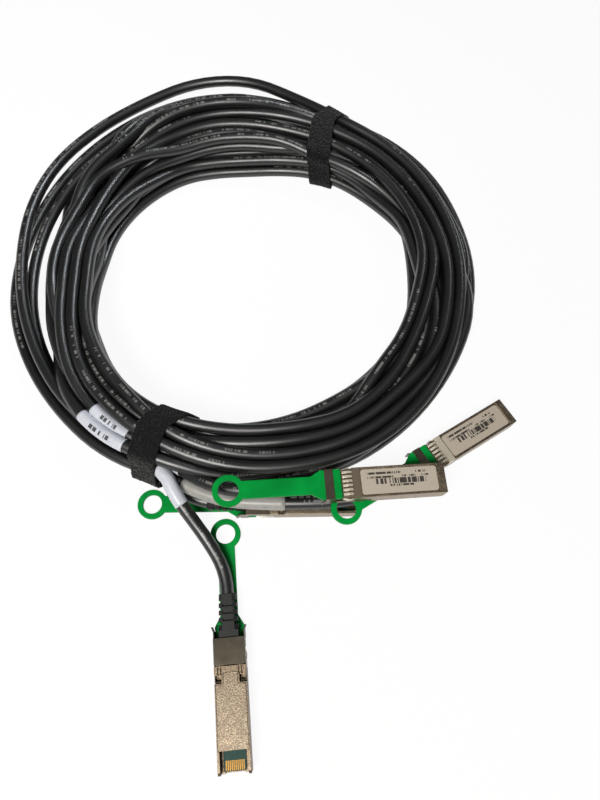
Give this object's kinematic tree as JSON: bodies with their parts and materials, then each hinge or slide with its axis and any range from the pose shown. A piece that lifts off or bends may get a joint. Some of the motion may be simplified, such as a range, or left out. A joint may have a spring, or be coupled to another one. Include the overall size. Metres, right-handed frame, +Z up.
{
  "type": "breakout cable",
  "caption": "Coiled network breakout cable: a wide port plug fans out to round cables that end in small latching plugs with finger-ring pull tabs.",
  "frame": {"origin": "on the table at the centre of the coil's outer circle", "axes": "+Z up from the table, +Y towards the back of the coil, +X to the right as the picture shows it"},
  "size_m": [0.2625, 0.3679, 0.0322],
  "materials": {
    "plug_metal": "satin nickel-plated die casting",
    "cover_metal": "grainy nickel-plated die casting",
    "spring_steel": "bright",
    "slider_steel": "satin",
    "tab_plastic": "smooth moulded",
    "boot_rubber": "matte",
    "jacket": "satin extruded jacket",
    "board": "solder-masked board",
    "gold": "gold flash",
    "label_paper": "matte film label",
    "tie_fabric": "napped hook-and-loop strip"
  },
  "bodies": {
    "cable": {"plug_a_shell": "plug_metal", "plug_a_bottom_cover": "cover_metal", "plug_a_board": "board", "plug_a_contacts": "gold", "plug_a_spring_collar": "spring_steel", "plug_a_boot": "boot_rubber", "plug_a_label": "label_paper", "plug_b_shell": "plug_metal", "plug_b_bottom_cover": "cover_metal", "plug_b_board": "board", "plug_b_contacts": "gold", "plug_b_spring_collar": "spring_steel", "plug_b_boot": "boot_rubber", "plug_b_label": "label_paper", "plug_c_shell": "plug_metal", "plug_c_bottom_cover": "cover_metal", "plug_c_board": "board", "plug_c_contacts": "gold", "plug_c_spring_collar": "spring_steel", "plug_c_boot": "boot_rubber", "plug_c_label": "label_paper", "plug_d_shell": "plug_metal", "plug_d_bottom_cover": "cover_metal", "plug_d_board": "board", "plug_d_contacts": "gold", "plug_d_spring_collar": "spring_steel", "plug_d_boot": "boot_rubber", "plug_d_label": "label_paper", "plug_wide_shell": "plug_metal", "plug_wide_bottom_cover": "cover_metal", "plug_wide_board": "board", "plug_wide_contacts": "gold", "plug_wide_spring_collar": "spring_steel", "plug_wide_boot": "boot_rubber", "leg_a": "jacket", "leg_a_tail": "jacket", "leg_b": "jacket", "leg_b_tail": "jacket", "leg_c": "jacket", "leg_c_tail": "jacket", "leg_d": "jacket", "leg_d_tail": "jacket", "cable_coil": "jacket", "low_tie": "tie_fabric", "high_tie": "tie_fabric"},
    "latch_a": {"plug_a_release_slider": "slider_steel", "plug_a_pull_tab": "tab_plastic"},
    "latch_b": {"plug_b_release_slider": "slider_steel", "plug_b_pull_tab": "tab_plastic"},
    "latch_c": {"plug_c_release_slider": "slider_steel", "plug_c_pull_tab": "tab_plastic"},
    "latch_d": {"plug_d_release_slider": "slider_steel", "plug_d_pull_tab": "tab_plastic"},
    "latch_wide": {"plug_wide_release_slider": "slider_steel", "plug_wide_pull_tab": "tab_plastic"}
  },
  "joints": [
    {"name": "latch_a_pull", "type": "slide", "parent": "cable", "child": "latch_a", "axis": [-0.0906, 0.9959, 0], "range_m": [0, 0.0015], "stiffness_N_per_m": 1500},
    {"name": "latch_b_pull", "type": "slide", "parent": "cable", "child": "latch_b", "axis": [-0.9927, -0.0834, 0.0872], "range_m": [0, 0.0015], "stiffness_N_per_m": 1500},
    {"name": "latch_c_pull", "type": "slide", "parent": "cable", "child": "latch_c", "axis": [-0.8452, -0.5241, 0.1045], "range_m": [0, 0.0015], "stiffness_N_per_m": 1500},
    {"name": "latch_d_pull", "type": "slide", "parent": "cable", "child": "latch_d", "axis": [-0.9999, -0.014, 0], "range_m": [0, 0.0015], "stiffness_N_per_m": 1500},
    {"name": "latch_wide_pull", "type": "slide", "parent": "cable", "child": "latch_wide", "axis": [-0.9781, -0.2079, 0], "range_m": [0, 0.0015], "stiffness_N_per_m": 1500}
  ]
}
